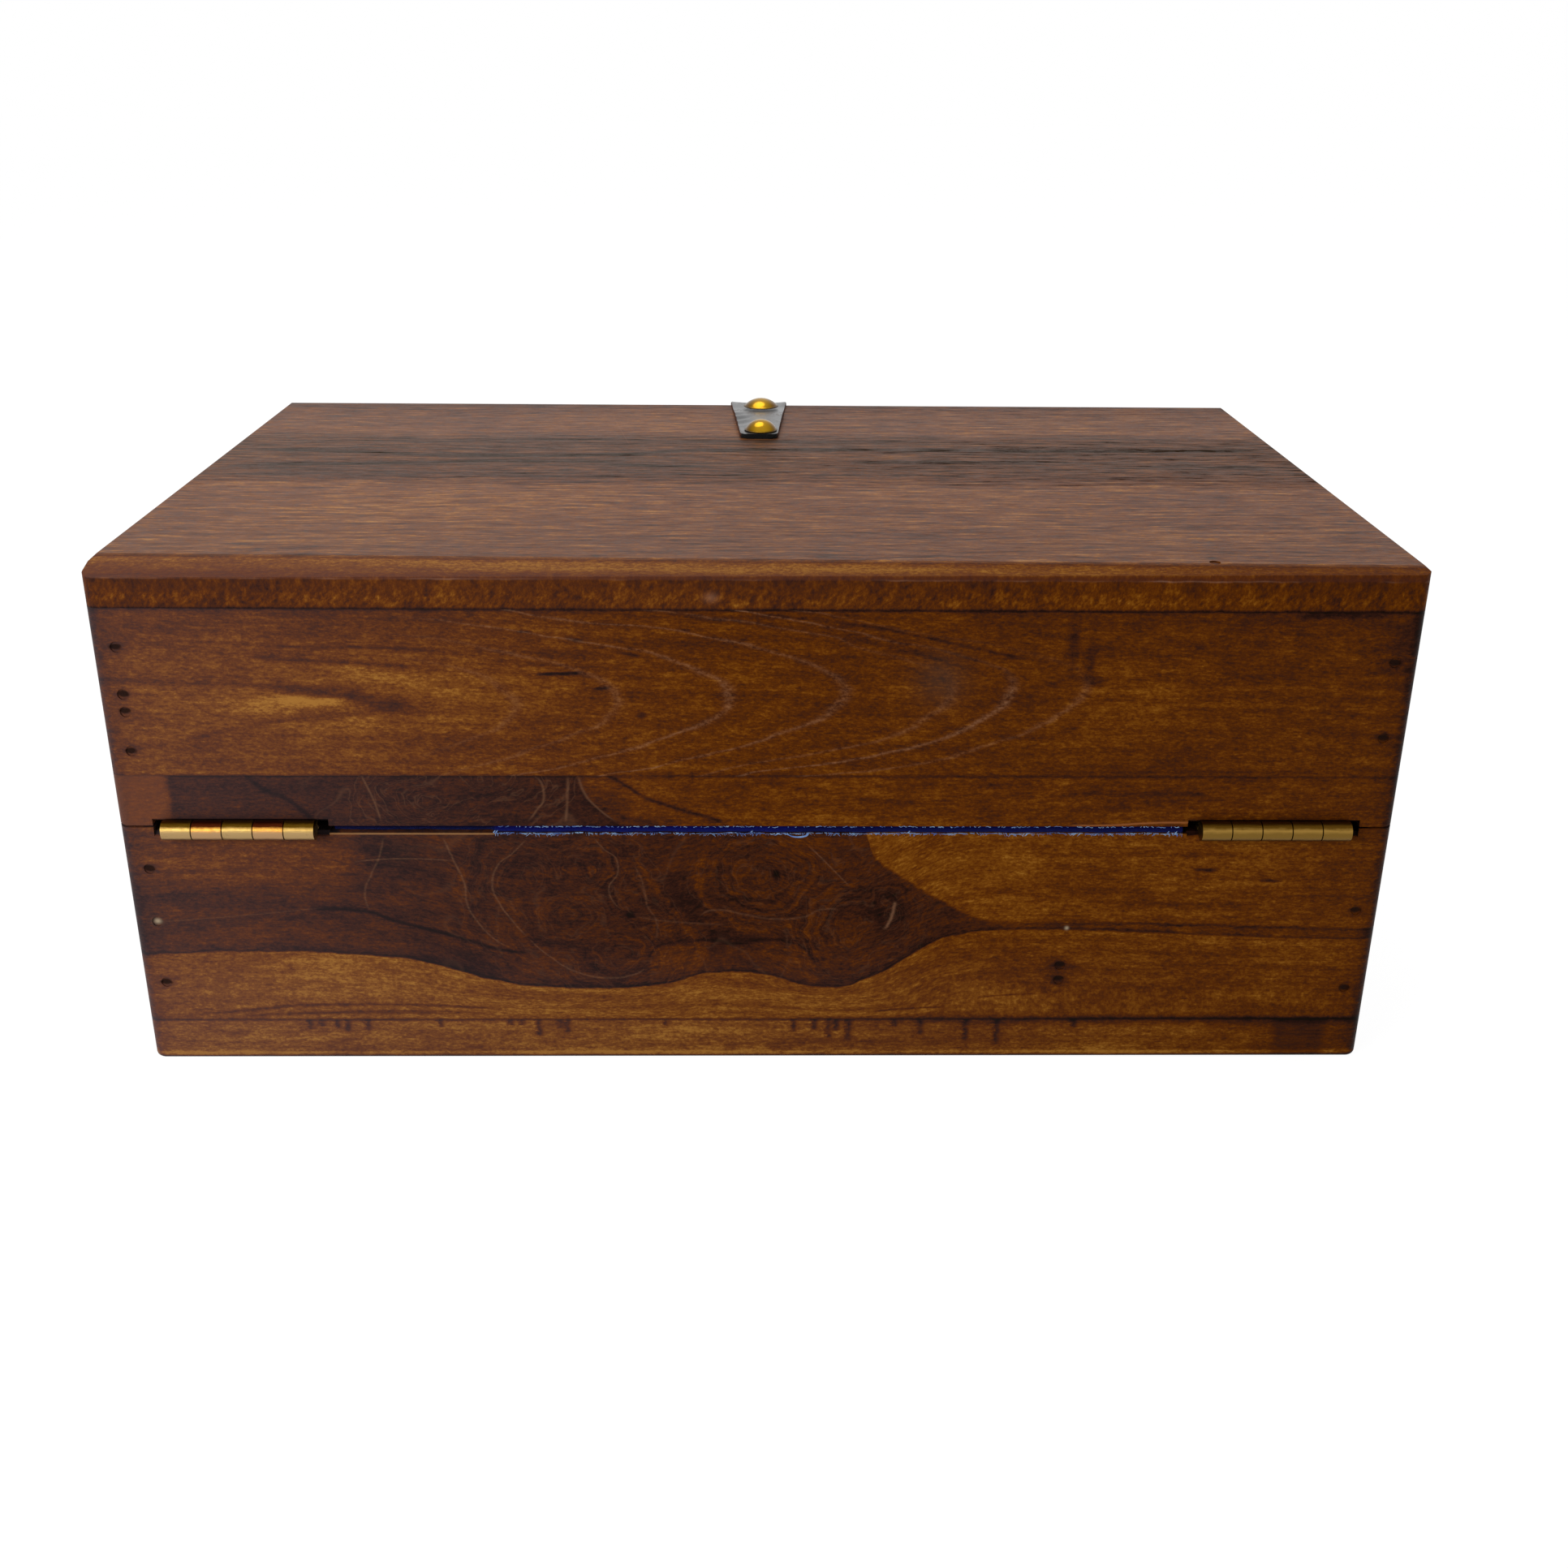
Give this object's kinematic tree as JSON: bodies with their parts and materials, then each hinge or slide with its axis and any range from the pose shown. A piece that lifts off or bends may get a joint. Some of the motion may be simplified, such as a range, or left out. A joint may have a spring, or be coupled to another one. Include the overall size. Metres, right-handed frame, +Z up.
{
  "type": "writing box",
  "caption": "Wooden writing box sawn on a slope, hinged at the back, with cloth-covered flaps, a pen bay and a strap that buttons at the front.",
  "frame": {"origin": "middle of the underside", "axes": "+X to the right seen from the front, +Y towards the hinges at the back, +Z up"},
  "size_m": [0.323, 0.2244, 0.1412],
  "materials": {
    "case_wood": "waxed brown hardwood with dark heartwood figure",
    "top_wood": "dry grey-brown hardwood with golden bevels",
    "inner_wood": "plain unpolished hardwood",
    "blue_cloth": "deep blue napped cloth",
    "hinge_brass": "dull aged brass",
    "screw_brass": "dull brass",
    "tack_brass": "polished brass",
    "nail_iron": "dark rusty iron",
    "black_leather": "glossy black leather with raw brown edges"
  },
  "bodies": {
    "base": {"base_bottom_board": "case_wood", "base_back_board": "case_wood", "base_front_board": "case_wood", "base_side_left": "case_wood", "base_side_right": "case_wood", "bay_divider": "inner_wood", "cross_divider": "inner_wood", "ink_partition_left": "inner_wood", "ink_partition_right": "inner_wood", "pen_tray": "inner_wood", "tray_bearers": "inner_wood", "base_hinge_rail": "inner_wood", "base_ledge_left": "inner_wood", "base_ledge_right": "inner_wood", "base_rim_cloth": "blue_cloth", "base_hinge_leaf_left": "hinge_brass", "base_hinge_leaf_right": "hinge_brass", "base_hinge_screws": "screw_brass", "base_nails": "nail_iron", "strap_stud": "tack_brass"},
    "lid": {"lid_top_board": "top_wood", "lid_back_board": "case_wood", "lid_back_strip": "case_wood", "lid_front_board": "case_wood", "lid_side_left": "case_wood", "lid_side_right": "case_wood", "lid_hinge_rail": "inner_wood", "lid_ledge_left": "inner_wood", "lid_ledge_right": "inner_wood", "lid_rim_cloth": "blue_cloth", "lid_hinge_leaf_left": "hinge_brass", "lid_hinge_leaf_right": "hinge_brass", "hinge_pin_left": "hinge_brass", "hinge_pin_right": "hinge_brass", "lid_hinge_screws": "screw_brass", "lid_nails": "nail_iron", "strap_anchor": "black_leather", "strap_tacks": "tack_brass"},
    "base_flap": {"base_flap_board": "inner_wood", "base_flap_cloth": "blue_cloth"},
    "lid_flap": {"lid_flap_board": "inner_wood", "lid_flap_cloth": "blue_cloth"},
    "strap": {"strap_tail": "black_leather"}
  },
  "joints": [
    {"name": "lid_open", "type": "hinge", "parent": "base", "child": "lid", "pos_m": [0, 0.1036, 0.068], "axis": [-1, 0, 0], "range_deg": [0, 178]},
    {"name": "base_flap_open", "type": "hinge", "parent": "base", "child": "base_flap", "pos_m": [0, 0.07979, 0.07023], "axis": [-1, 0, 0], "range_deg": [0, 59.4]},
    {"name": "lid_flap_open", "type": "hinge", "parent": "lid", "child": "lid_flap", "pos_m": [0, 0.07983, 0.07053], "axis": [1, 0, 0], "range_deg": [0, 59.4]},
    {"name": "strap_lift", "type": "hinge", "parent": "lid", "child": "strap", "pos_m": [0, -0.1038, 0.128], "axis": [-1, 0, 0], "range_deg": [-12, 75]}
  ],
  "couplings": [
    {"joint": "base_flap_open", "follows": "lid_open", "ratio": 0.33333},
    {"joint": "lid_flap_open", "follows": "lid_open", "ratio": 0.33333}
  ]
}
